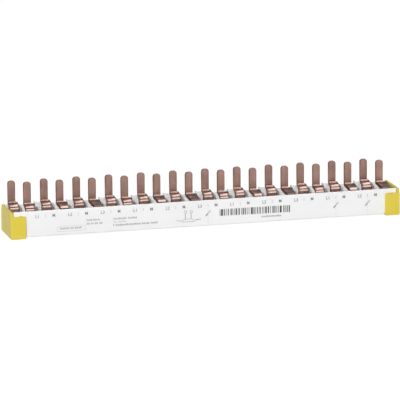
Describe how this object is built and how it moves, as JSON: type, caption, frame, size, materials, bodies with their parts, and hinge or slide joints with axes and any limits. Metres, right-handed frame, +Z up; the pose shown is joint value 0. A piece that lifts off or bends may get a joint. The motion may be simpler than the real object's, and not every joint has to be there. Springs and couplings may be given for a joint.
{
  "type": "comb busbar",
  "caption": "Comb busbar for modular breakers: copper combs for neutral and three phases in a white insulating profile, with a yellow cap on each end.",
  "frame": {"origin": "middle of the length and of the overall depth, on the plane that the end caps rest on", "axes": "+X along the bar from left to right as the printed face is read, +Y from the printed front face to the back, +Z up towards the tooth tips"},
  "size_m": [0.2172, 0.0252, 0.0272],
  "materials": {
    "white_plastic": "satin white extruded plastic",
    "copper": "bare rolled copper with sheared edges",
    "yellow_plastic": "satin yellow moulded plastic"
  },
  "bodies": {
    "root": {"housing": "white_plastic", "busbar_n": "copper", "busbar_l1": "copper", "busbar_l2": "copper", "busbar_l3": "copper", "left_end_cap": "yellow_plastic", "right_end_cap": "yellow_plastic"}
  },
  "joints": []
}
